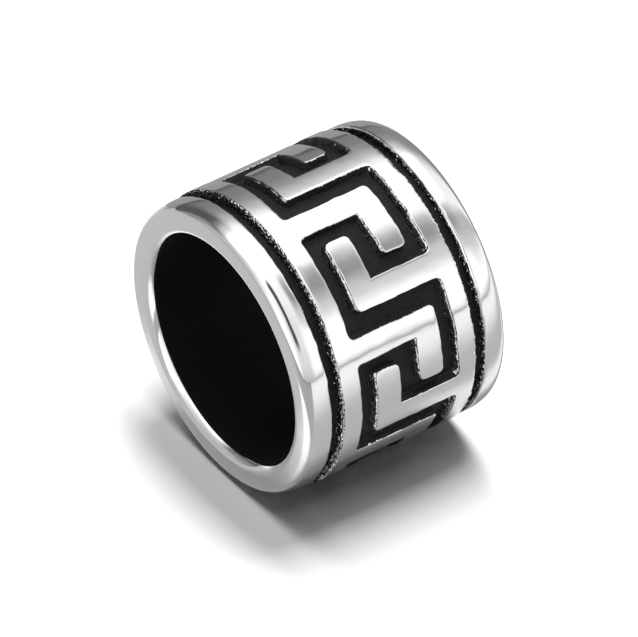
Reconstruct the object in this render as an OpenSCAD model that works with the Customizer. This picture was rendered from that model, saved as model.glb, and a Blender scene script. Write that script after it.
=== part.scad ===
// Large-hole hair bead for a dreadlock: one cast and polished steel tube, lying on its side.
// Between two plain rims, its band carries a raised Greek key: two rows of interlocking hooks
// that leave one sunken channel, which runs right round.
// The hole runs along X and is open at both ends. The bead rests on z = 0, with the origin under
// its middle and the viewer at -Y.

/* [Tube] */
// Diameter of the through hole for the lock of hair
bore_d = 8.2; // [7.4:0.1:14]
// Wall from the hole to the surface of the patterned band
wall = 1.2; // [1:0.05:2.5]
// Width of the patterned band, along the hole
band_w = 5.43; // [4.6:0.01:10]

/* [Rims] */
// Width of each plain rim, along the hole
rim_w = 0.935; // [0.6:0.005:2.5]
// How much lower the rims lie than the band
rim_drop = 0.05; // [0.01:0.01:0.15]
// Rounding of each rim's outer shoulder
shoulder_r = 0.4; // [0.1:0.02:0.46]
// Rounding of the lip at each mouth of the hole
lip_r = 0.4; // [0.1:0.02:0.46]
// Rounding of each rim's edge at its groove
rim_edge_r = 0.1; // [0.04:0.01:0.2]

/* [Grooves] */
// Width of the groove between each rim and the band
groove_w = 0.41; // [0.2:0.01:1]
// Depth of the grooves below the band's surface
groove_depth = 0.4; // [0.25:0.01:0.7]
// Rounding of the band's edges at the grooves
band_edge_r = 0.07; // [0.02:0.01:0.2]

/* [Greek key] */
// Length of one repeat round the band, before it is fitted to a whole number of repeats
key_step = 4.75; // [4.1:0.05:8]
// Depth of the sunken channel below the band's surface
key_depth = 0.32; // [0.15:0.01:0.7]
// Plain margin between the channel and each edge of the band
key_margin = 0.77; // [0.3:0.01:1.4]
// Width of the channel's two side runs, which go round the bead
side_run_w = 0.565; // [0.3:0.005:1]
// Width of the channel's middle run, between the two hooks
middle_run_w = 0.75; // [0.3:0.01:1.8]
// Width of the long run that crosses the band
long_cross_w = 0.725; // [0.3:0.005:1.2]
// Width of the two short runs that cross half of the band
short_cross_w = 0.53; // [0.3:0.01:0.8]
// Width of the raised bars that carry the hooks
bar_w = 0.91; // [0.4:0.01:1.2]
// How much lower the hooks' polished tops lie than the margins
hook_drop = 0.01; // [0.01:0.01:0.05]
// Rounding of the hooks' corners, as seen on the band
hook_corner_r = 0.16; // [0.04:0.02:0.2]
// Turn of the pattern about the hole, from the floor and away from the viewer, in degrees
key_turn = 26.55; // [0:0.05:51]

/* [Hidden] */
$fn = 96;
cut_over = 0.4;
hook_root = 0.2;
bore_r = bore_d / 2;
band_r = bore_r + wall;
rim_r = band_r - rim_drop;
groove_floor_r = band_r - groove_depth;
key_floor_r = band_r - key_depth;
hook_root_r = key_floor_r - hook_root;
hook_top_r = band_r - hook_drop;

// Places along the hole, from the middle of the band
groove_in = band_w / 2;
groove_out = groove_in + groove_w;
bead_half_len = groove_out + rim_w;
key_half_w = groove_in - key_margin;
side_run_in = key_half_w - side_run_w;
middle_run_half = middle_run_w / 2;

// Angles round the hole, from the start of a repeat's long cross run
key_repeats = round(2 * PI * band_r / key_step);
key_pitch = 360 / key_repeats;
long_cross_end = turn_of(long_cross_w);
upper_short_start = turn_of(long_cross_w + bar_w);
upper_short_end = turn_of(long_cross_w + bar_w + short_cross_w);
lower_short_start = key_pitch - turn_of(bar_w + short_cross_w);
lower_short_end = key_pitch - turn_of(bar_w);

// Degrees that a width takes on the band's surface
function turn_of(width) = width / band_r * 180 / PI;

// What rounding takes off a square corner that lies at the origin and points to +x +y
module corner_cut(r) {
    translate([-r, -r]) difference() {
        square(r + cut_over);
        circle(r);
    }
}

// One half of the tube's section: x is the radius, y runs along the hole from the middle
module half_section() {
    difference() {
        translate([bore_r, 0]) square([wall, bead_half_len]);
        translate([rim_r, groove_out]) square([rim_drop + cut_over, rim_w + cut_over]);
        translate([groove_floor_r, groove_in]) square([groove_depth + cut_over, groove_w]);
        translate([key_floor_r, -cut_over]) square([key_depth + cut_over, key_half_w + cut_over]);
        translate([rim_r, bead_half_len]) corner_cut(shoulder_r);
        translate([bore_r, bead_half_len]) mirror([1, 0]) corner_cut(lip_r);
        translate([rim_r, groove_out]) mirror([0, 1]) corner_cut(rim_edge_r);
        translate([band_r, groove_in]) corner_cut(band_edge_r);
    }
}

// The tube with its rims, grooves and sunken band, about Z and centred on the origin
module tube() {
    rotate_extrude() {
        half_section();
        mirror([0, 1]) half_section();
    }
}

// One straight raised piece, between two places along the hole and two angles round it
module raised(from_z, to_z, from_a, to_a) {
    rotate([0, 0, from_a]) rotate_extrude(angle = to_a - from_a)
        translate([hook_root_r, from_z]) square([hook_top_r - hook_root_r, to_z - from_z]);
}

// Rounds a hook's corner, given its place along the hole and round it. The quarter turns say
// where it points: 0 right and onward, 1 right and back, 2 left and back, 3 left and onward
module corner_off(at_z, at_a, quarter) {
    rotate([0, 0, at_a]) translate([hook_root_r, 0, at_z]) rotate([90, 0, 90])
        linear_extrude(hook_top_r - hook_root_r + cut_over)
            rotate(90 * quarter) corner_cut(hook_corner_r);
}

// A hook from the left margin: a bar across the band, with an arm at its end that goes on round
module left_hook() {
    difference() {
        union() {
            raised(-key_half_w, side_run_in, long_cross_end, upper_short_start);
            raised(middle_run_half, side_run_in, long_cross_end, lower_short_start);
        }
        corner_off(side_run_in, long_cross_end, 1);
        corner_off(side_run_in, lower_short_start, 0);
        corner_off(middle_run_half, lower_short_start, 3);
    }
}

// A hook from the right margin: a bar across the band, with an arm at its end that comes back
module right_hook() {
    difference() {
        union() {
            raised(-side_run_in, key_half_w, lower_short_end, key_pitch);
            raised(-side_run_in, -middle_run_half, upper_short_end, key_pitch);
        }
        corner_off(-side_run_in, key_pitch, 3);
        corner_off(-side_run_in, upper_short_end, 2);
        corner_off(-middle_run_half, upper_short_end, 1);
    }
}

// The tube's seam lies in the middle of a long cross run, clear of the hooks
module bead() {
    color("silver")
    translate([0, 0, band_r]) rotate([key_turn, 0, 0]) rotate([0, 90, 0]) {
        rotate([0, 0, long_cross_end / 2]) tube();
        for (i = [0 : key_repeats - 1])
            rotate([0, 0, i * key_pitch]) {
                left_hook();
                right_hook();
            }
    }
}

bead();
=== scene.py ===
"""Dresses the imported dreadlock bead: a polished steel tube bead with a raised Greek key over
a blackened channel, black grooves and a black hole, lying on a pale studio floor."""
import math

import bpy
import numpy as np
from bpy.props import FloatProperty, FloatVectorProperty, IntProperty, PointerProperty
from mathutils import Matrix, Vector


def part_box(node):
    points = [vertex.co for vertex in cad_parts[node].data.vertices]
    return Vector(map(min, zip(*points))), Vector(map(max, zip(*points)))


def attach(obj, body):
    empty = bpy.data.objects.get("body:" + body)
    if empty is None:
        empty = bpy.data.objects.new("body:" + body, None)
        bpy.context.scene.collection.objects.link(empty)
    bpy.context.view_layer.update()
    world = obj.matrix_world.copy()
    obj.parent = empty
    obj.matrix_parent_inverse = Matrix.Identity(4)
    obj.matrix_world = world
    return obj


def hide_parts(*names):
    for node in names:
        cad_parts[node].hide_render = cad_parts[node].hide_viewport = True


bl_info = {
    "name": "Dreadlock bead",
    "version": (1, 0, 0),
    "blender": (4, 5, 0),
    "location": "3D View > Sidebar > Bead",
    "description": "Builds a polished steel hair bead with a blackened Greek key",
    "category": "Object",
}

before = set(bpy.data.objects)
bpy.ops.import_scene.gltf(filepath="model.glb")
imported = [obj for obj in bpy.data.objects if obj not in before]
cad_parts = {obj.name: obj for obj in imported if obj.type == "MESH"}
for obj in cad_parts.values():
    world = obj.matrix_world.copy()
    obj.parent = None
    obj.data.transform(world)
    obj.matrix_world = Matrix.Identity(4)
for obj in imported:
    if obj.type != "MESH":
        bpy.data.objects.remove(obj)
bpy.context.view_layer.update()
BEAD_LOW, BEAD_HIGH = (Vector(corner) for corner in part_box("bead"))
BAND_RADIUS = (BEAD_HIGH.z - BEAD_LOW.z) / 2
HALF_LENGTH = (BEAD_HIGH.x - BEAD_LOW.x) / 2

# The picture's width in pixels, from which the lens is worked out
PICTURE_WIDTH = 638
# The wall finishes measure depth in tenths of a millimetre
TENTH = 0.0001
# Brightest light that the steel can mirror from the studio
FULL_LIGHT = 2.5


class TubeSizes(bpy.types.PropertyGroup):
    """Sizes of the tube, its rims and its grooves"""
    hole: FloatProperty(
        name="Hole", description="Diameter of the hole for the lock of hair",
        default=0.0082, unit="LENGTH")
    rim_drop: FloatProperty(
        name="Rim drop", description="How much lower the rims lie than the band",
        default=0.00005, unit="LENGTH")
    rim_width: FloatProperty(
        name="Rim width", description="Width of each plain rim along the hole",
        default=0.000935, unit="LENGTH")
    shoulder: FloatProperty(
        name="Shoulder", description="Rounding of each rim's outer shoulder",
        default=0.0004, unit="LENGTH")
    lip: FloatProperty(
        name="Lip", description="Rounding of the lip at each mouth of the hole",
        default=0.0004, unit="LENGTH")
    # Painted shade: the hole's black reaches this far round the lip
    lip_shade_reach: FloatProperty(
        name="Black on the lip", description="How far round the lip the black of the hole reaches",
        default=math.radians(22), subtype="ANGLE")
    rim_edge: FloatProperty(
        name="Rim edge", description="Rounding of each rim's edge at its groove",
        default=0.0001, unit="LENGTH")
    groove_width: FloatProperty(
        name="Groove width", description="Width of the groove between each rim and the band",
        default=0.00041, unit="LENGTH")
    groove_depth: FloatProperty(
        name="Groove depth", description="Depth of the grooves below the band's surface",
        default=0.0004, unit="LENGTH")
    band_edge: FloatProperty(
        name="Band edge", description="Rounding of the band's edges at the grooves",
        default=0.00007, unit="LENGTH")
    crown: FloatProperty(
        name="Crown", description="How softly each rim rounds over: 2 is an ellipse",
        default=2.7)
    waver: FloatProperty(
        name="Waver", description="How far the grooves' cast edges wander",
        default=0.000012, unit="LENGTH")
    grain: FloatProperty(
        name="Grain", description="Height of the cast grain on the grooves' walls",
        default=0.000012, unit="LENGTH")
    steps_round: IntProperty(
        name="Steps round", description="Faces round the rims and the hole",
        default=720, min=64)


class KeySizes(bpy.types.PropertyGroup):
    """Sizes of the raised key and its sunken channel"""
    repeats: IntProperty(
        name="Repeats", description="Repeats of the key round the band", default=7, min=3)
    turn: FloatProperty(
        name="Turn", description="Turn of the key from the floor, away from the viewer",
        default=math.radians(26.55), subtype="ANGLE")
    depth: FloatProperty(
        name="Depth", description="Depth of the channel below the band's surface",
        default=0.00032, unit="LENGTH")
    margin: FloatProperty(
        name="Margin", description="Plain margin between the channel and the band's edge",
        default=0.00077, unit="LENGTH")
    side_run: FloatProperty(
        name="Side run", description="Width of the channel's two side runs",
        default=0.000565, unit="LENGTH")
    middle_run: FloatProperty(
        name="Middle run", description="Width of the channel between the two hooks",
        default=0.00075, unit="LENGTH")
    long_cross: FloatProperty(
        name="Long cross run", description="Width of the run that crosses the band",
        default=0.000725, unit="LENGTH")
    short_cross: FloatProperty(
        name="Short cross runs", description="Width of the runs that cross half of the band",
        default=0.00053, unit="LENGTH")
    bar: FloatProperty(
        name="Bar", description="Width of the raised bars that carry the hooks",
        default=0.00091, unit="LENGTH")
    corner: FloatProperty(
        name="Corner", description="Rounding of the hooks' corners, as seen on the band",
        default=0.00022, unit="LENGTH")
    inner_corner: FloatProperty(
        name="Inner corner", description="Rounding of the channel's outer corners",
        default=0.0002, unit="LENGTH")
    edge: FloatProperty(
        name="Edge", description="Polished rounding along the key's top edges",
        default=0.000036, unit="LENGTH")
    near_edge: FloatProperty(
        name="Near edge", description="Rounding of the key's edges that face the near end",
        default=0.0001, unit="LENGTH")
    near_pillow: FloatProperty(
        name="Near pillow", description="How far polishing has sunk the metal beside those edges",
        default=0.000012, unit="LENGTH")
    pillow: FloatProperty(
        name="Pillow", description="How far polishing has sunk the metal beside its edges",
        default=0.000009, unit="LENGTH")
    pillow_reach: FloatProperty(
        name="Pillow reach", description="How far in from the edges polishing has rounded",
        default=0.00013, unit="LENGTH")
    waver: FloatProperty(
        name="Waver", description="How far the key's cast edges wander",
        default=0.000011, unit="LENGTH")
    # Painted shade: below this height the key's edges take the channel's black, as shade near the
    # floor
    floor_shade_height: FloatProperty(
        name="Black height", description="Height below which the key's edges keep their black",
        default=0.0025, unit="LENGTH")
    wall_run: FloatProperty(
        name="Wall slope", description="How far the channel's walls lean out to the floor",
        default=0.00005, unit="LENGTH")
    step: FloatProperty(
        name="Step", description="Widest face of the band between its finer edges",
        default=0.00012, unit="LENGTH")


class FinishColours(bpy.types.PropertyGroup):
    """Colours of the steel, of its black finish, and of the painted shade in the hole"""
    steel: FloatVectorProperty(
        name="Steel", description="Reflection colour of the polished steel",
        default=(0.60, 0.60, 0.61), size=3, subtype="COLOR")
    black: FloatVectorProperty(
        name="Black", description="Colour of the black finish in the channel and grooves",
        default=(0.007, 0.007, 0.0075), size=3, subtype="COLOR")
    fleck: FloatVectorProperty(
        name="Flecks", description="Colour of the bare flecks on the cast walls",
        default=(0.62, 0.62, 0.62), size=3, subtype="COLOR")
    # Painted shade: the inside of the hole is coloured near black
    hole_shade_black: FloatVectorProperty(
        name="Hole black", description="Colour of the black finish inside the hole",
        default=(0.0042, 0.0042, 0.0054), size=3, subtype="COLOR")


class StudioSettings(bpy.types.PropertyGroup):
    """Camera, floor and lights of the studio"""
    azimuth: FloatProperty(
        name="Camera azimuth", description="Camera's turn round the bead",
        default=math.radians(-35.5), subtype="ANGLE")
    elevation: FloatProperty(
        name="Camera elevation", description="Camera's height over the floor, as an angle",
        default=math.radians(40.5), subtype="ANGLE")
    distance: FloatProperty(
        name="Camera distance", description="From the camera to the bead's middle",
        default=0.424, unit="LENGTH")
    scale: FloatProperty(
        name="Picture scale", description="Pixels of the picture for each metre at the bead",
        default=29910.0)
    aim_right: FloatProperty(
        name="Aim right", description="How far right of the bead's middle the camera aims",
        default=0.0000368, unit="LENGTH")
    aim_down: FloatProperty(
        name="Aim down", description="How far below the bead's middle the camera aims",
        default=0.0004046, unit="LENGTH")
    floor: FloatVectorProperty(
        name="Floor", description="Colour of the studio floor",
        default=(0.88, 0.88, 0.88), size=3, subtype="COLOR")
    floor_size: FloatProperty(
        name="Floor size", description="Width of the studio floor",
        default=1.2, unit="LENGTH")
    softbox_distance: FloatProperty(
        name="Softbox distance", description="From the bead to the softboxes over it",
        default=0.6, unit="LENGTH")
    softbox_width: FloatProperty(
        name="Softbox width", description="Size of each softbox along the hole",
        default=0.158, unit="LENGTH")
    main_depth: FloatProperty(
        name="Main depth", description="Size of the main softbox across the hole",
        default=0.413, unit="LENGTH")
    main_right: FloatProperty(
        name="Main right", description="Turn of the main softbox from overhead to the far end",
        default=math.radians(13), subtype="ANGLE")
    main_back: FloatProperty(
        name="Main back", description="Turn of the main softbox away from the viewer",
        default=math.radians(7), subtype="ANGLE")
    main_light: FloatProperty(
        name="Main light", description="Brightness of the main softbox's surface",
        default=23.6)
    wide_depth: FloatProperty(
        name="Wide depth", description="Size of the wide softbox across the hole",
        default=0.9, unit="LENGTH")
    wide_right: FloatProperty(
        name="Wide right", description="Turn of the wide softbox from overhead to the far end",
        default=math.radians(-7), subtype="ANGLE")
    wide_back: FloatProperty(
        name="Wide back", description="Turn of the wide softbox away from the viewer",
        default=math.radians(5), subtype="ANGLE")
    wide_light: FloatProperty(
        name="Wide light", description="Brightness of the wide softbox's surface",
        default=4.8)
    fill: FloatProperty(
        name="Fill", description="Brightness of the light from all round",
        default=0.06)


def nodes_of(tree):
    """Empties a node tree, and gives the functions that add a node and link two sockets."""
    tree.nodes.clear()

    def add(kind, **values):
        node = tree.nodes.new(kind)
        for key, value in values.items():
            setattr(node, key, value)
        return node
    return add, tree.links.new


def noise(add, link, where, scale, detail, rough=0.5):
    """A noise texture over the bead's own coordinates, with scale in grains a metre."""
    grain = add("ShaderNodeTexNoise")
    grain.inputs["Scale"].default_value = scale
    grain.inputs["Detail"].default_value = detail
    grain.inputs["Roughness"].default_value = rough
    link(where.outputs["Object"], grain.inputs["Vector"])
    return grain


def ramp(add, link, source, stops):
    """A colour ramp fed by a factor, with stops as (place, colour)."""
    node = add("ShaderNodeValToRGB")
    elements = node.color_ramp.elements
    while len(elements) > 1:
        elements.remove(elements[-1])
    elements[0].position = stops[0][0]
    elements[0].color = (*stops[0][1], 1)
    for place, colour in stops[1:]:
        elements.new(place).color = (*colour, 1)
    link(source, node.inputs["Fac"])
    return node


def soft_step(add, link, value, start, end):
    """A factor that rises smoothly from 0 at start to 1 at end."""
    step = add("ShaderNodeMapRange", interpolation_type="SMOOTHSTEP")
    step.inputs["From Min"].default_value = start
    step.inputs["From Max"].default_value = end
    link(value, step.inputs["Value"])
    return step.outputs["Result"]


def calculate(add, link, operation, *values):
    """The result of a Math node that takes sockets and plain numbers."""
    node = add("ShaderNodeMath", operation=operation)
    for socket, value in zip(node.inputs, values):
        if isinstance(value, float):
            socket.default_value = value
        else:
            link(value, socket)
    return node.outputs["Value"]


def bump(add, link, height, distance, strength=1.0):
    """A bump whose full height is distance, in metres."""
    node = add("ShaderNodeBump")
    node.inputs["Strength"].default_value = strength
    node.inputs["Distance"].default_value = distance
    link(height, node.inputs["Height"])
    return node


def grey(value):
    return (value, value, value)


def depth_below_band(add, link, where):
    """How far a point lies below the band's surface, in tenths of a millimetre."""
    across = add("ShaderNodeVectorMath", operation="SUBTRACT")
    link(where.outputs["Object"], across.inputs[0])
    across.inputs[1].default_value = (0, 0, BAND_RADIUS)
    flat = add("ShaderNodeVectorMath", operation="MULTIPLY")
    link(across.outputs["Vector"], flat.inputs[0])
    flat.inputs[1].default_value = (0, 1, 1)
    radius = add("ShaderNodeVectorMath", operation="LENGTH")
    link(flat.outputs["Vector"], radius.inputs[0])
    depth = add("ShaderNodeMapRange", clamp=False)
    depth.inputs["From Min"].default_value = BAND_RADIUS
    depth.inputs["From Max"].default_value = BAND_RADIUS - TENTH
    link(radius.outputs["Value"], depth.inputs["Value"])
    return depth.outputs["Result"]


def polished_steel(colour):
    """Mirror polish with the faint waves and hairlines that a buffing wheel leaves."""
    smears_a_metre = 900
    waves_a_metre = 520
    hairs_a_metre = 24000
    hair_stretch = 0.06
    wave_height = 0.00003
    hair_height = 0.000001
    material = bpy.data.materials.new("polished_steel")
    material.use_nodes = True
    add, link = nodes_of(material.node_tree)
    shader = add("ShaderNodeBsdfPrincipled")
    shader.inputs["Base Color"].default_value = (*colour, 1)
    shader.inputs["Metallic"].default_value = 1.0
    where = add("ShaderNodeTexCoord")
    smear = noise(add, link, where, smears_a_metre, 3)
    rough = ramp(add, link, smear.outputs["Fac"], [(0.3, grey(0.05)), (0.7, grey(0.09))])
    link(rough.outputs["Color"], shader.inputs["Roughness"])
    waves = noise(add, link, where, waves_a_metre, 2)
    wavy = bump(add, link, waves.outputs["Fac"], wave_height)
    stretch = add("ShaderNodeMapping")
    stretch.inputs["Scale"].default_value = (1.0, hair_stretch, hair_stretch)
    link(where.outputs["Object"], stretch.inputs["Vector"])
    hairs = add("ShaderNodeTexNoise")
    hairs.inputs["Scale"].default_value = hairs_a_metre
    hairs.inputs["Detail"].default_value = 2
    link(stretch.outputs["Vector"], hairs.inputs["Vector"])
    lined = bump(add, link, hairs.outputs["Fac"], hair_height, 0.25)
    link(wavy.outputs["Normal"], lined.inputs["Normal"])
    link(lined.outputs["Normal"], shader.inputs["Normal"])
    out = add("ShaderNodeOutputMaterial")
    link(shader.outputs["BSDF"], out.inputs["Surface"])
    return material


def black_finish(name, colour, gloss):
    """Matte black over fine cast grain."""
    grains_a_metre = 9000
    grain_height = 0.00002
    dim = tuple(0.8 * c for c in colour)
    light = tuple(1.3 * c for c in colour)
    material = bpy.data.materials.new(name)
    material.use_nodes = True
    add, link = nodes_of(material.node_tree)
    shader = add("ShaderNodeBsdfPrincipled")
    where = add("ShaderNodeTexCoord")
    grain = noise(add, link, where, grains_a_metre, 3, 0.6)
    tone = ramp(add, link, grain.outputs["Fac"], [(0.3, dim), (0.5, colour), (0.7, light)])
    link(tone.outputs["Color"], shader.inputs["Base Color"])
    rough = ramp(add, link, grain.outputs["Fac"], [(0.3, grey(0.66)), (0.7, grey(0.48))])
    link(rough.outputs["Color"], shader.inputs["Roughness"])
    shader.inputs["Specular IOR Level"].default_value = gloss
    cast = bump(add, link, grain.outputs["Fac"], grain_height, 0.3)
    link(cast.outputs["Normal"], shader.inputs["Normal"])
    out = add("ShaderNodeOutputMaterial")
    link(shader.outputs["BSDF"], out.inputs["Surface"])
    return material


def painted_shade_share(add, link, where, side):
    """Where shade is painted on a wall as black, from 0 to 1: painted shade on the bead's back
    and on its underside, and a painted dark reflection in a thin line along the rounding of a
    wall that faces an end.

    side is how squarely the surface faces an end of the bead, and the line lies where it is
    neither near 0 nor near 1. The back and the underside start at places in metres.
    """
    back_starts = (-0.0004, 0.0024)
    underside_starts = (0.0028, 0.0010)
    line_starts = (0.15, 0.3)
    line_ends = (0.7, 0.5)
    place = add("ShaderNodeSeparateXYZ")
    link(where.outputs["Object"], place.inputs["Vector"])
    back = soft_step(add, link, place.outputs["Y"], *back_starts)
    under = soft_step(add, link, place.outputs["Z"], *underside_starts)
    # Painted shade: the walls keep more black on the bead's back and underside
    painted_back_and_under_shade = calculate(add, link, "MAXIMUM", back, under)
    turned = soft_step(add, link, side, *line_starts)
    not_upright = soft_step(add, link, side, *line_ends)
    # Painted dark reflection: a thin black line on the rounding of a wall that faces an end
    line = calculate(add, link, "MULTIPLY", turned, not_upright)
    return calculate(add, link, "MAXIMUM", painted_back_and_under_shade, line)


def worn_and_shaded_wall(name, colours, bare_depth, side_depth, painted_shade_depth, ragged, coarse, pitting,
                dullness):
    """A cast wall whose top is worn bare while black stays below and in its pits, and where
    shade is painted on as more black.

    Depths are in tenths of a millimetre. Half of the metal shows at bare_depth, or at
    side_depth on a wall that faces an end of the bead, and the painted shade's depth is taken
    off both where shade is painted: on the bead's back and underside, and in a thin line of
    painted dark reflection along the rounding of a wall that faces an end. Ragged is how far
    the edge of the black wanders up and down the wall, coarse is the grains in a metre,
    pitting is their height in metres, and dullness is the roughness of the bare metal.
    """
    half_blur = 0.12
    black_dullness = 0.6
    pits_a_grain = 1.2
    material = bpy.data.materials.new(name)
    material.use_nodes = True
    add, link = nodes_of(material.node_tree)
    shader = add("ShaderNodeBsdfPrincipled")
    where = add("ShaderNodeTexCoord")
    grain = noise(add, link, where, coarse, 2, 0.65)
    facing = add("ShaderNodeSeparateXYZ")
    link(where.outputs["Normal"], facing.inputs["Vector"])
    side = calculate(add, link, "ABSOLUTE", facing.outputs["X"])
    level = add("ShaderNodeMapRange")
    level.inputs["To Min"].default_value = bare_depth - ragged
    level.inputs["To Max"].default_value = side_depth - ragged
    link(side, level.inputs["Value"])
    # The wall's worn level, lowered where shade is painted
    bare_level_after_shade = calculate(add, link, "MULTIPLY_ADD", painted_shade_share(add, link, where, side),
                       -painted_shade_depth, level.outputs["Result"])
    wander = calculate(add, link, "MULTIPLY_ADD", grain.outputs["Fac"], 2 * ragged, bare_level_after_shade)
    above = calculate(add, link, "SUBTRACT", wander, depth_below_band(add, link, where))
    bare = add("ShaderNodeMapRange")
    bare.inputs["From Min"].default_value = -half_blur
    bare.inputs["From Max"].default_value = half_blur
    link(above, bare.inputs["Value"])
    link(bare.outputs["Result"], shader.inputs["Metallic"])
    tone = ramp(add, link, bare.outputs["Result"], [(0.0, colours.black), (1.0, colours.fleck)])
    link(tone.outputs["Color"], shader.inputs["Base Color"])
    rough = ramp(add, link, bare.outputs["Result"],
                 [(0.0, grey(black_dullness)), (1.0, grey(dullness))])
    link(rough.outputs["Color"], shader.inputs["Roughness"])
    shader.inputs["Specular IOR Level"].default_value = 0.3
    pits = noise(add, link, where, pits_a_grain * coarse, 1)
    cast = bump(add, link, pits.outputs["Fac"], pitting)
    link(cast.outputs["Normal"], shader.inputs["Normal"])
    out = add("ShaderNodeOutputMaterial")
    link(shader.outputs["BSDF"], out.inputs["Surface"])
    return material


FINISH_NAMES = ("polished_steel", "black_channel", "rubbed_key_wall", "cast_groove_wall",
                "black_hole")
STEEL, CHANNEL, KEY_WALL, GROOVE_WALL, HOLE = range(len(FINISH_NAMES))


def finishes():
    """The bead's finishes, in the order of their names and of the faces' numbers."""
    made = [bpy.data.materials.get(name) for name in FINISH_NAMES]
    if all(made):
        return made
    colours = bpy.context.scene.bead_finish
    return [
        polished_steel(colours.steel),
        black_finish("black_channel", colours.black, gloss=0.17),
        # The key's walls: worn bare metal, with painted shade and a painted dark reflection line
        worn_and_shaded_wall("rubbed_key_wall", colours, bare_depth=-0.9, side_depth=1.9,
                    painted_shade_depth=3.0, ragged=4.5, coarse=5500, pitting=0.00004, dullness=0.12),
        worn_and_shaded_wall("cast_groove_wall", colours, bare_depth=2.0, side_depth=2.0,
                    painted_shade_depth=2.4, ragged=6.5, coarse=8500, pitting=0.00014, dullness=0.24),
        # Painted shade in the hole
        black_finish("black_hole", colours.hole_shade_black, gloss=0.1),
    ]


def ripple(points, length, seed):
    """Smooth random waves over space with unit spread, from plane waves of a few directions."""
    random = np.random.RandomState(seed)
    total = np.zeros(points.shape[:-1])
    count = 24
    shortest, longest = 0.7, 1.5
    for _ in range(count):
        way = random.normal(size=3)
        wave = length * random.uniform(shortest, longest)
        way *= 2 * math.pi / (wave * np.linalg.norm(way))
        total += np.sin(points @ way + random.uniform(0, 2 * math.pi))
    return total * math.sqrt(2 / count)


def new_piece(name, points, faces, finish_of_face, normals=None):
    """Makes a piece of the bead from numpy arrays, and gives it its body, node and slot."""
    mesh = bpy.data.meshes.new(name)
    mesh.from_pydata(points.tolist(), [], faces.tolist())
    for material in finishes():
        mesh.materials.append(material)
    mesh.polygons.foreach_set("material_index", finish_of_face.astype(np.int32))
    mesh.polygons.foreach_set("use_smooth", np.ones(len(faces), dtype=bool))
    mesh.update()
    if normals is not None:
        mesh.normals_split_custom_set_from_vertices(normals.tolist())
    piece = bpy.data.objects.new(name, mesh)
    bpy.context.scene.collection.objects.link(piece)
    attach(piece, "root")
    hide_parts("bead")
    return piece


def wrapped(along, angles, radii):
    """Points round the hole: angles run from the top towards the viewer."""
    x = np.broadcast_to(along, radii.shape)
    y = -radii * np.sin(angles)
    z = BAND_RADIUS + radii * np.cos(angles)
    return np.stack([x, y, z], axis=-1)


def grid_faces(rows, columns):
    """Quads over a grid whose columns close into a ring."""
    i, j = np.meshgrid(np.arange(rows - 1), np.arange(columns), indexing="ij")
    after = (j + 1) % columns
    quads = np.stack([
        i * columns + j, i * columns + after,
        (i + 1) * columns + after, (i + 1) * columns + j], axis=-1)
    return quads.reshape(-1, 4), i.ravel()


def arc(centre_x, centre_r, radius, start, end, steps):
    """Points of a rounding in the section, with angles from the radial direction to +X."""
    turns = np.radians(np.linspace(start, end, steps + 1))
    return [(centre_x + radius * math.sin(t), centre_r + radius * math.cos(t)) for t in turns]


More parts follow.
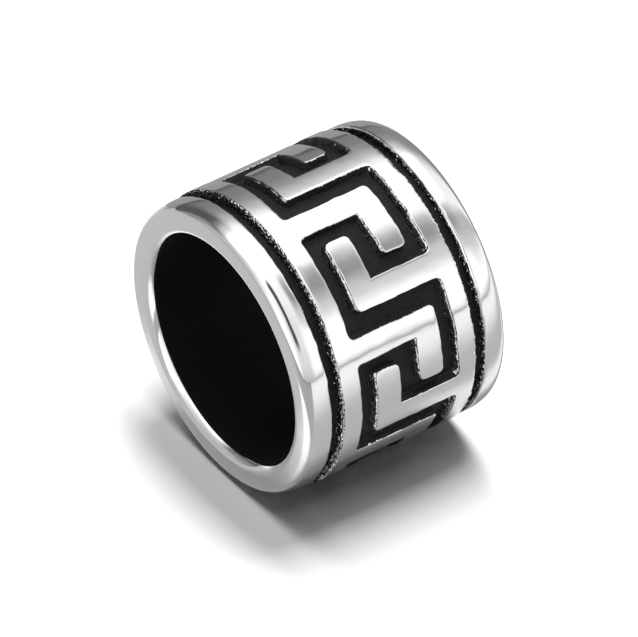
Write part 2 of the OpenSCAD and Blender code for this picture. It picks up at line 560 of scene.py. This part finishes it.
def half_outline(tube, key):
    """The section from the band's margin over the rim into the hole.

    Each point is (x, r, finish of the face after it, share of the cast waver).
    """
    groove_out = HALF_LENGTH - tube.rim_width
    groove_in = groove_out - tube.groove_width
    join = groove_in - key.margin + key.corner
    rim = BAND_RADIUS - tube.rim_drop
    floor = BAND_RADIUS - tube.groove_depth
    hole = tube.hole / 2

    # The spacing of points that keep an edge crisp, the rounding at the grooves' feet, and
    # what polishing takes off beside an edge
    near = 0.00002
    foot = 0.00005
    foot_middle = 0.3 * foot
    sunk = 0.000001
    points = []

    def run(places, finish, waver=0.0):
        points.extend((x, r, finish, waver) for x, r in places)

    def wall(x, top, bottom):
        steps = 7
        places = [(x, top + (bottom - top) * k / steps) for k in range(1, steps + 1)]
        run(places, GROOVE_WALL, 1.0)

    # The band's margin, up to its rounded edge
    run([(join, BAND_RADIUS), ((join + groove_in) / 2, BAND_RADIUS)], STEEL)
    inner = groove_in - tube.band_edge
    run([(inner - 8 * near, BAND_RADIUS - sunk)], STEEL, 0.2)
    run([(inner - 3 * near, BAND_RADIUS - 3 * sunk)], STEEL, 0.7)
    edge = arc(inner, BAND_RADIUS - tube.band_edge - 5 * sunk, tube.band_edge, 5, 90, 6)
    # Past its first face, the edge rounding takes the groove wall's finish, with its painted dark
    # reflection line
    run(edge[:1], STEEL, 1.0)
    run(edge[1:], GROOVE_WALL, 1.0)

    # The groove, down and up again. The rim's edge starts where its second wall ends
    wall(groove_in, BAND_RADIUS - tube.band_edge, floor + foot)
    run([(groove_in + foot_middle, floor + foot_middle)], CHANNEL, 0.8)
    run([(groove_in + foot, floor), (groove_out - foot, floor)], CHANNEL, 0.4)
    run([(groove_out - foot_middle, floor + foot_middle)], GROOVE_WALL, 0.8)
    run([(groove_out, floor + foot)], GROOVE_WALL, 1.0)
    wall(groove_out, floor + foot, rim - tube.rim_edge)
    points.pop()
    outer = groove_out + tube.rim_edge
    edge = arc(outer, rim - tube.rim_edge, tube.rim_edge, -90, 0, 8)
    run(edge[:2], GROOVE_WALL, 1.0)
    run(edge[2:], STEEL, 1.0)

    # The rim's crown, where the cast waver fades out
    reach = HALF_LENGTH - outer
    fade = 10 * near
    steps = 44
    power = 2 / tube.crown
    for k in range(1, steps + 1):
        turn = math.pi / 2 * k / steps
        across = math.sin(turn) ** power
        down = 1 - math.cos(turn) ** power
        waver = max(0.0, 1 - across * reach / fade)
        run([(outer + reach * across, rim - tube.shoulder * down)], STEEL, waver)

    # The end face, and the lip round into the hole. The hole and the inner part of the lip are
    # coloured black as painted shade
    face_low = hole + tube.lip
    run([(HALF_LENGTH, (face_low + rim - tube.shoulder) / 2)], STEEL)
    run([(HALF_LENGTH, face_low + near)], STEEL)
    lip_x = HALF_LENGTH - tube.lip
    black = 180 - math.degrees(tube.lip_shade_reach)
    run(arc(lip_x, face_low, tube.lip, 90, black, 14)[:-1], STEEL)
    run(arc(lip_x, face_low, tube.lip, black, 180, 6), HOLE)
    run([(lip_x - near, hole)] + [(lip_x * k / 6, hole) for k in range(5, 0, -1)], HOLE)
    return points


class BEAD_OT_rims_and_hole(bpy.types.Operator):
    """Builds the bead's two ends: a rim, a groove and a margin of the band, and half the hole"""
    bl_idname = "bead.rims_and_hole"
    bl_label = "Rims and hole"
    bl_options = {"REGISTER", "UNDO"}

    def execute(self, context):
        tube = context.scene.bead_tube
        far = half_outline(tube, context.scene.bead_key) + [(0.0, tube.hole / 2, HOLE, 0.0)]
        # Mirrored and turned round, a point takes the finish of the face that was before it
        near = []
        for k, (x, r, _, waver) in enumerate(far):
            near.append((-x, r, far[max(k - 1, 0)][2], waver))
        steps = tube.steps_round
        angles = np.linspace(0, 2 * np.pi, steps, endpoint=False)[None, :]
        for name, outline in (("near_rim", near[::-1]), ("far_rim", far)):
            outline = np.array(outline)
            finish = outline[:, 2].astype(int)
            waver = outline[:, 3:4]
            radii = np.repeat(outline[:, 1:2], steps, axis=1)
            points = wrapped(outline[:, 0:1], angles, radii)
            slow = ripple(points, length=0.0011, seed=3)
            quick = ripple(points, length=0.0004, seed=4)
            shift = tube.waver * waver * (0.8 * slow + 0.5 * quick)
            rough = (finish == GROOVE_WALL)[:, None]
            shift += tube.grain * rough * ripple(points, length=0.00014, seed=5)
            points[..., 0] += shift
            faces, row = grid_faces(len(outline), steps)
            new_piece(name, points.reshape(-1, 3), faces, finish[row])
        return {"FINISHED"}


def ring_distance(x, u, low, high, start, end, rounding):
    """Signed distance to a rounded box on the unrolled band, positive inside it."""
    dx = np.abs(x - (low + high) / 2) - ((high - low) / 2 - rounding)
    du = np.abs(u - (start + end) / 2) - ((end - start) / 2 - rounding)
    outside = np.hypot(np.maximum(dx, 0), np.maximum(du, 0))
    inside = np.minimum(np.maximum(dx, du), 0)
    return rounding - outside - inside


def soft_union(a, b, blend):
    """The larger of two distances, with the inner corner between them eased."""
    share = np.clip(0.5 + 0.5 * (a - b) / blend, 0, 1)
    return b + (a - b) * share + blend * share * (1 - share)


class KeyLayout:
    """Where the key's edges lie on the unrolled band, in metres.

    x runs along the hole from the middle of the bead, and u round it from a repeat's start.
    """

    def __init__(self, tube, key):
        self.key = key
        groove_in = HALF_LENGTH - tube.rim_width - tube.groove_width
        self.pitch = 2 * math.pi * BAND_RADIUS / key.repeats
        self.half = groove_in - key.margin
        self.side = self.half - key.side_run
        self.middle = key.middle_run / 2
        self.left_bar = (key.long_cross, key.long_cross + key.bar)
        self.right_bar = (self.pitch - key.bar, self.pitch)
        self.left_arm_end = self.pitch - key.bar - key.short_cross
        self.right_arm_start = self.left_bar[1] + key.short_cross

    def distance(self, x, u):
        """Signed distance to the edge of the raised metal, positive on it."""
        key = self.key
        best = np.abs(x) - self.half
        beyond = self.half + 4 * key.corner
        # A blend a little wider than the rounding eases a square corner to that rounding
        blend = 1.17 * key.inner_corner
        for turn in (-1, 0, 1):
            v = np.mod(u, self.pitch) + turn * self.pitch
            left = np.maximum(
                ring_distance(x, v, -beyond, self.side, *self.left_bar, key.corner),
                ring_distance(x, v, self.middle, self.side, self.left_bar[0],
                              self.left_arm_end, key.corner))
            right = np.maximum(
                ring_distance(x, v, -self.side, beyond, *self.right_bar, key.corner),
                ring_distance(x, v, -self.side, -self.middle, self.right_arm_start,
                              self.right_bar[1], key.corner))
            best = soft_union(best, np.maximum(left, right), blend)
        points = wrapped(x, self.angles(u), np.full(x.shape, BAND_RADIUS))
        slow = ripple(points, length=0.0012, seed=1)
        quick = ripple(points, length=0.00045, seed=2)
        return best + key.waver * (0.8 * slow + 0.6 * quick)

    def angles(self, u):
        """The angles round the hole of places round the unrolled band."""
        return math.pi + self.key.turn + u / BAND_RADIUS

    def drop(self, distance, near):
        """How far the surface lies below the band at a distance from the metal's edge.

        near is 1 where the edge faces the near end and 0 where it faces another way.
        """
        key = self.key
        foot = 0.00004
        edge = key.edge + (key.near_edge - key.edge) * near
        pillow = key.pillow + (key.near_pillow - key.pillow) * near
        sunk = pillow * np.clip(1 - distance / key.pillow_reach, 0, 1) ** 2
        side = np.clip(edge - distance, 0, edge)
        rounded = sunk + edge - np.sqrt(edge ** 2 - side ** 2)
        brow = pillow + edge
        down = np.clip(-distance / key.wall_run, 0, 1)
        wall = brow + down * (key.depth - foot - brow)
        out = np.clip(-distance - key.wall_run, 0, foot)
        bottom = key.depth - foot + np.sqrt(foot ** 2 - (foot - out) ** 2)
        return np.where(distance >= 0, rounded,
                        np.where(-distance < key.wall_run, wall, bottom))

    def surface(self, x, u):
        """The band's points, and each one's distance from the metal's edge and nearness."""
        distance = self.distance(x, u)
        reach = 0.00001
        rise = (self.distance(x + reach, u) - self.distance(x - reach, u)) / (2 * reach)
        near = np.clip(rise, 0, 1) ** 2
        points = wrapped(x, self.angles(u), BAND_RADIUS - self.drop(distance, near))
        return points, distance, near


# Grid lines beside an edge of the key, in thousandths of a millimetre. Plus is on to the raised
# metal and minus off it
EDGE_LINES = np.array([150, 110, 85, 62, 42, 25, 12, 3, -15, -35, -50, -65, -95])


def lines(edges, low, high, step):
    """Grid lines with a cluster at each edge. An edge is (place, side of the raised metal)."""
    closest = 0.000004
    places = [low, high]
    for place, side in edges:
        places.extend(place + side * EDGE_LINES * 1e-6)
    places = sorted(p for p in places if low <= p <= high)
    kept = [places[0]]
    for place in places[1:]:
        if place - kept[-1] > closest:
            kept.append(place)
    kept[-1] = high
    filled = []
    for a, b in zip(kept, kept[1:]):
        parts = max(1, math.ceil((b - a) / step))
        filled.extend(a + (b - a) * k / parts for k in range(parts))
    return np.array(filled + [high])


class BEAD_OT_key_band(bpy.types.Operator):
    """Builds the raised Greek key and its sunken black channel"""
    bl_idname = "bead.key_band"
    bl_label = "Greek key band"
    bl_options = {"REGISTER", "UNDO"}

    def execute(self, context):
        tube = context.scene.bead_tube
        key = context.scene.bead_key
        lay = KeyLayout(tube, key)
        across = lines(
            [(-lay.half, -1), (-lay.side, 1), (-lay.middle, -1),
             (lay.middle, 1), (lay.side, -1), (lay.half, 1)],
            -lay.half - key.corner, lay.half + key.corner, key.step)
        one = lines(
            [(0.0, -1), (lay.left_bar[0], 1), (lay.left_bar[1], -1), (lay.right_arm_start, 1),
             (lay.left_arm_end, -1), (lay.right_bar[0], 1), (lay.pitch, -1)],
            0.0, lay.pitch, key.step)[:-1]
        around = np.concatenate([one + k * lay.pitch for k in range(key.repeats)])
        x, u = np.meshgrid(across, around, indexing="ij")
        points, distance, near = lay.surface(x, u)
        faces, _ = grid_faces(len(across), len(around))

        # Normals, from the surface a tiny step to either side
        tiny = 0.000004
        along = lay.surface(x + tiny, u)[0] - lay.surface(x - tiny, u)[0]
        onward = lay.surface(x, u + tiny)[0] - lay.surface(x, u - tiny)[0]
        normals = np.cross(onward, along)
        normals /= np.linalg.norm(normals, axis=-1, keepdims=True)

        # Finishes, by the distance of each face's middle from the raised metal's edge
        wall_top = 0.00001
        near_wall_top = 0.00006
        wall_bottom = -0.00007
        middle = distance.reshape(-1)[faces].mean(axis=1)
        facing = near.reshape(-1)[faces].mean(axis=1)
        height = points[..., 2].reshape(-1)[faces].mean(axis=1)
        finish = np.full(len(faces), STEEL)
        # Edges that face the near end take the wall's finish further up their rounding, where its
        # painted dark reflection line lies
        finish[middle < wall_top + (near_wall_top - wall_top) * facing] = KEY_WALL
        finish[middle < wall_bottom] = CHANNEL
        # Painted shade: near the floor, the key's edges are coloured black
        finish[(height < key.floor_shade_height) & (middle < key.edge)] = CHANNEL
        new_piece("key_band", points.reshape(-1, 3), faces, finish, normals.reshape(-1, 3))
        return {"FINISHED"}


# Light that the steel mirrors of the studio, as (angle, light), with the angle in degrees from
# overhead towards the viewer. Which table holds depends on how far a reflection turns to
# either end of the bead, and GAP_LIGHT dims the far end's
FAR_END_LIGHT = (
    (-90, 0.14), (-87, 0.24), (-84, 0.30), (-72, 0.33), (-60, 0.50), (-48, 1.00), (-40, 1.60),
    (-32, 2.20), (4, 2.20), (14, 1.60), (48, 1.40), (58, 1.80), (66, 2.00), (82, 2.00),
    (88, 1.40), (90, 0.70),
)
GAP_LIGHT = (
    (-90, 1.00), (6, 1.00), (12, 0.84), (17, 0.50), (22, 0.35), (27, 0.31), (31, 0.33),
    (36, 0.46), (42, 0.66), (50, 0.82), (56, 1.00), (90, 1.00),
)
FAR_EDGE_LIGHT = (
    (-90, 0.36), (-60, 0.41), (-51, 0.52), (-42, 0.72), (-36, 0.90), (-30, 1.13), (-24, 1.32),
    (-18, 1.48), (12, 1.50), (18, 1.20), (24, 0.78), (36, 0.80), (48, 1.00), (54, 1.22),
    (60, 1.43), (72, 1.70), (82, 1.70), (90, 0.90),
)
MIDDLE_LIGHT = (
    (-90, 0.14), (-54, 0.15), (-47, 0.45), (-38, 1.20), (-30, 2.20), (10, 2.20),
    (20, 1.60), (50, 1.25), (62, 1.30), (78, 1.15), (85, 1.00), (90, 0.80),
)
NEAR_END_LIGHT = (
    (-90, 0.70), (-60, 0.80), (-40, 0.90), (-20, 1.05), (0, 1.30), (30, 1.80), (80, 2.00),
    (90, 1.60),
)

# Where those tables take over from the middle one, by the reflection's part along the hole:
# -1 is straight to the near end and 1 straight to the far end
TO_FAR_END = (0.15, 0.40)
TO_GAP = (0.31, 0.41)
TO_FAR_EDGE = (0.42, 0.64)
TO_NEAR_END = (-0.42, -0.72)

# Patches of the studio that the steel mirrors, each as a grey and its soft edges. An edge is
# (across what, where it starts, where it is full), with angles in degrees
HAZE = (0.16, ("axis", -0.14, -0.34), ("angle", -46, -60))
FLAG = (0.05, ("axis", -0.32, -0.26), ("axis", 0.01, -0.10),
        ("angle", 9, 17), ("angle", 72, 58))

# Light that the steel mirrors of the floor, as (Y in millimetres, light). LEFT_SHEEN takes
# over beyond the near end, at places in metres along X
SHEEN_REACH = 100
FLOOR_SHEEN = (
    (-100, 0.91), (-73, 0.91), (-37, 0.88), (-25, 0.77), (-19.4, 0.64), (-15.7, 0.52),
    (-13.2, 0.46), (-8.8, 0.43), (-7.9, 0.48), (-7.2, 0.54), (-6.5, 0.54), (-5.9, 0.49),
    (-4.9, 0.51), (-4.5, 0.70), (-4, 0.80), (-3, 0.90), (14, 1.00), (20, 0.70), (33, 0.44),
    (60, 0.26), (100, 0.18),
)
LEFT_SHEEN = ((-100, 0.38), (-8, 0.38), (-2, 0.47), (100, 0.47))
TO_LEFT_SHEEN = (-0.0044, -0.0068)

# Patches of the floor that the steel mirrors, in the same form, with edges in metres. The
# pool's edge is a distance from its middle
BRIGHT_STRIP = (0.80, ("X", 0.0022, 0.0034), ("Y", -0.0078, -0.0060), ("Y", -0.0025, -0.0040))
DIM_STRIP = (0.25, ("X", 0.0039, 0.0046), ("Y", -0.0054, -0.0038))
POOL = (1.00, ("pool", 0.0065, 0.0045))
POOL_MIDDLE = (-0.0108, -0.0045, 0)


def light_round(add, link, angle, stops, full=FULL_LIGHT):
    """Light by its angle round the hole, as a share of full light."""
    share = add("ShaderNodeMapRange")
    share.inputs["From Min"].default_value = -math.pi
    share.inputs["From Max"].default_value = math.pi
    link(angle, share.inputs["Value"])
    light = ramp(add, link, share.outputs["Result"],
                 [((a + 180) / 360, grey(v / full)) for a, v in stops])
    return light.outputs["Color"]


def sheen(add, link, y, stops):
    """Light by its place on the floor, along Y."""
    share = add("ShaderNodeMapRange")
    share.inputs["From Min"].default_value = -SHEEN_REACH / 1000
    share.inputs["From Max"].default_value = SHEEN_REACH / 1000
    link(y, share.inputs["Value"])
    light = ramp(add, link, share.outputs["Result"],
                 [((place + SHEEN_REACH) / (2 * SHEEN_REACH), grey(v)) for place, v in stops])
    return light.outputs["Color"]


def blend(add, link, factor, first, second, kind="MIX"):
    """Mixes two colours. The node has sockets of one name for each kind of data, so the
    colours' own are found by their numbers."""
    mix = add("ShaderNodeMix", data_type="RGBA", blend_type=kind)
    link(factor, mix.inputs[0])
    link(first, mix.inputs[6])
    link(second, mix.inputs[7])
    return mix.outputs[2]


def patch(add, link, light, look, across):
    """Lays a patch's grey over the light. Across gives the socket and unit of each kind of
    edge that the patch names."""
    value, *edges = look
    share = None
    for kind, start, full in edges:
        socket, unit = across[kind]
        step = soft_step(add, link, socket, start * unit, full * unit)
        share = calculate(add, link, "MULTIPLY", share, step) if share else step
    colour = add("ShaderNodeRGB")
    colour.outputs["Color"].default_value = (*grey(value), 1)
    return blend(add, link, share, light, colour.outputs["Color"])


def studio_light(add, link):
    """A plain studio as the steel mirrors it: white above and low in front, with a grey gap
    between the two towards the far end, dimmer behind, and with haze low behind and a slim
    black flag in front, both towards the near end."""
    where = add("ShaderNodeTexCoord")
    way = add("ShaderNodeSeparateXYZ")
    link(where.outputs["Generated"], way.inputs["Vector"])
    axis = way.outputs["X"]
    front = calculate(add, link, "MULTIPLY", way.outputs["Y"], -1.0)
    angle = calculate(add, link, "ARCTAN2", front, way.outputs["Z"])
    across = {"axis": (axis, 1), "angle": (angle, math.radians(1))}

    far_end = light_round(add, link, angle, FAR_END_LIGHT)
    gap = light_round(add, link, angle, GAP_LIGHT, 1.0)
    far_end = blend(add, link, soft_step(add, link, axis, *TO_GAP), far_end, gap, "MULTIPLY")
    far_edge = light_round(add, link, angle, FAR_EDGE_LIGHT)
    far_end = blend(add, link, soft_step(add, link, axis, *TO_FAR_EDGE), far_end, far_edge)
    middle = light_round(add, link, angle, MIDDLE_LIGHT)
    light = blend(add, link, soft_step(add, link, axis, *TO_FAR_END), middle, far_end)
    light = patch(add, link, light, HAZE, across)
    near_end = light_round(add, link, angle, NEAR_END_LIGHT)
    light = blend(add, link, soft_step(add, link, axis, *TO_NEAR_END), light, near_end)
    return patch(add, link, light, FLAG, across)


def studio_world(fill):
    """The studio's light for what the steel mirrors directly, an even fill light for all
    else, and plain white behind the floor."""
    world = bpy.data.worlds.new("studio")
    world.use_nodes = True
    add, link = nodes_of(world.node_tree)
    mirrored = add("ShaderNodeBackground")
    mirrored.inputs["Strength"].default_value = FULL_LIGHT
    link(studio_light(add, link), mirrored.inputs["Color"])
    even = add("ShaderNodeBackground")
    even.inputs["Strength"].default_value = fill
    white = add("ShaderNodeBackground")
    path = add("ShaderNodeLightPath")
    direct = calculate(add, link, "LESS_THAN", path.outputs["Diffuse Depth"], 0.5)
    mirror = calculate(add, link, "MULTIPLY", path.outputs["Is Glossy Ray"], direct)
    lit = add("ShaderNodeMixShader")
    link(mirror, lit.inputs["Fac"])
    link(even.outputs["Background"], lit.inputs[1])
    link(mirrored.outputs["Background"], lit.inputs[2])
    seen = add("ShaderNodeMixShader")
    link(path.outputs["Is Camera Ray"], seen.inputs["Fac"])
    link(lit.outputs["Shader"], seen.inputs[1])
    link(white.outputs["Background"], seen.inputs[2])
    out = add("ShaderNodeOutputWorld")
    link(seen.outputs["Shader"], out.inputs["Surface"])
    world.cycles.sampling_method = "NONE"
    return world


def floor_light(add, link):
    """What the steel mirrors of the floor: it fades out behind, dips just in front and is
    dimmer beyond both ends, but for a bright pool at the near end and strip at the far end."""
    where = add("ShaderNodeNewGeometry")
    place = add("ShaderNodeSeparateXYZ")
    link(where.outputs["Position"], place.inputs["Vector"])
    x = place.outputs["X"]
    y = place.outputs["Y"]
    pool = add("ShaderNodeVectorMath", operation="DISTANCE")
    link(where.outputs["Position"], pool.inputs[0])
    pool.inputs[1].default_value = POOL_MIDDLE
    across = {"X": (x, 1), "Y": (y, 1), "pool": (pool.outputs["Value"], 1)}
    light = blend(add, link, soft_step(add, link, x, *TO_LEFT_SHEEN),
                  sheen(add, link, y, FLOOR_SHEEN), sheen(add, link, y, LEFT_SHEEN))
    for look in (BRIGHT_STRIP, DIM_STRIP, POOL):
        light = patch(add, link, light, look, across)
    return light


def floor_material(colour):
    """White paper, which the steel mirrors as a studio's floor with lights and shades on it."""
    material = bpy.data.materials.new("studio_floor")
    material.use_nodes = True
    add, link = nodes_of(material.node_tree)
    paper = add("ShaderNodeBsdfDiffuse")
    paper.inputs["Color"].default_value = (*colour, 1)
    mirrored = add("ShaderNodeBsdfDiffuse")
    link(floor_light(add, link), mirrored.inputs["Color"])
    path = add("ShaderNodeLightPath")
    mix = add("ShaderNodeMixShader")
    link(path.outputs["Is Glossy Ray"], mix.inputs["Fac"])
    link(paper.outputs["BSDF"], mix.inputs[1])
    link(mirrored.outputs["BSDF"], mix.inputs[2])
    out = add("ShaderNodeOutputMaterial")
    link(mix.outputs["Shader"], out.inputs["Surface"])
    return material


def softbox(name, studio):
    """One of the lights over the bead, turned to face it."""
    data = bpy.data.lights.new(name + "_softbox", "AREA")
    data.shape = "RECTANGLE"
    data.size = studio.softbox_width
    data.size_y = getattr(studio, name + "_depth")
    brightness = getattr(studio, name + "_light")
    data.energy = brightness * math.pi * data.size * data.size_y
    light = bpy.data.objects.new(data.name, data)
    right = math.tan(getattr(studio, name + "_right"))
    back = math.tan(getattr(studio, name + "_back"))
    way = Vector((right, back, 1)).normalized()
    light.location = way * studio.softbox_distance
    along = Vector((0, 1, 0)).cross(way).normalized()
    light.rotation_mode = "QUATERNION"
    turned = Matrix((along, way.cross(along), way)).transposed()
    light.rotation_quaternion = turned.to_quaternion()
    light.visible_glossy = False
    light.visible_camera = False
    return light


def paper_floor(studio):
    """The floor that the bead lies on."""
    half = studio.floor_size / 2
    corners = [(-half, -half, 0), (half, -half, 0), (half, half, 0), (-half, half, 0)]
    mesh = bpy.data.meshes.new("floor")
    mesh.from_pydata(corners, [], [(0, 1, 2, 3)])
    mesh.materials.append(floor_material(studio.floor))
    floor = bpy.data.objects.new("floor", mesh)
    floor.location.z = BEAD_LOW.z
    return floor


def studio_camera(studio):
    """The camera, at the picture's own angle, distance and framing."""
    turn = studio.azimuth
    tilt = studio.elevation
    flat = math.cos(tilt)
    back = Vector((math.sin(turn) * flat, -math.cos(turn) * flat, math.sin(tilt)))
    right = Vector((math.cos(turn), math.sin(turn), 0))
    up = back.cross(right)
    middle = Vector((0, 0, BAND_RADIUS))
    aim = middle + studio.aim_right * right - studio.aim_down * up
    data = bpy.data.cameras.new("camera")
    data.sensor_fit = "HORIZONTAL"
    data.sensor_width = 36
    data.lens = studio.scale * studio.distance / PICTURE_WIDTH * data.sensor_width
    data.clip_start = 0.01
    data.clip_end = 10
    camera = bpy.data.objects.new("camera", data)
    axes = Matrix((right, up, back)).transposed().to_4x4()
    camera.matrix_world = Matrix.Translation(aim + back * studio.distance) @ axes
    return camera


class BEAD_OT_stage(bpy.types.Operator):
    """Adds the pale floor, the soft studio light and the camera"""
    bl_idname = "bead.stage"
    bl_label = "Stage"
    bl_options = {"REGISTER", "UNDO"}

    def execute(self, context):
        scene = context.scene
        studio = scene.bead_studio
        floor = paper_floor(studio)
        camera = studio_camera(studio)
        for item in (floor, softbox("main", studio), softbox("wide", studio), camera):
            scene.collection.objects.link(item)
        bpy.context.scene.camera = camera
        scene.world = studio_world(studio.fill)
        scene.view_settings.view_transform = "Standard"
        return {"FINISHED"}


class BEAD_PT_panel(bpy.types.Panel):
    """Lists the bead's sizes and the operators that build it"""
    bl_idname = "BEAD_PT_panel"
    bl_label = "Dreadlock bead"
    bl_space_type = "VIEW_3D"
    bl_region_type = "UI"
    bl_category = "Bead"

    def draw(self, context):
        scene = context.scene
        for title, group in (("Tube", scene.bead_tube), ("Greek key", scene.bead_key),
                             ("Finish", scene.bead_finish), ("Studio", scene.bead_studio)):
            box = self.layout.box()
            box.label(text=title)
            for name in group.__annotations__:
                box.prop(group, name)
        for operator in OPERATORS:
            self.layout.operator(operator.bl_idname)


GROUPS = {
    "bead_tube": TubeSizes,
    "bead_key": KeySizes,
    "bead_finish": FinishColours,
    "bead_studio": StudioSettings,
}
OPERATORS = (BEAD_OT_rims_and_hole, BEAD_OT_key_band, BEAD_OT_stage)


def register():
    for name, group in GROUPS.items():
        bpy.utils.register_class(group)
        setattr(bpy.types.Scene, name, PointerProperty(type=group))
    for cls in (*OPERATORS, BEAD_PT_panel):
        bpy.utils.register_class(cls)


def unregister():
    for cls in (BEAD_PT_panel, *reversed(OPERATORS)):
        bpy.utils.unregister_class(cls)
    for name, group in GROUPS.items():
        delattr(bpy.types.Scene, name)
        bpy.utils.unregister_class(group)


def main():
    register()
    bpy.ops.bead.rims_and_hole()
    bpy.ops.bead.key_band()
    bpy.ops.bead.stage()


if __name__ == "__main__":
    main()
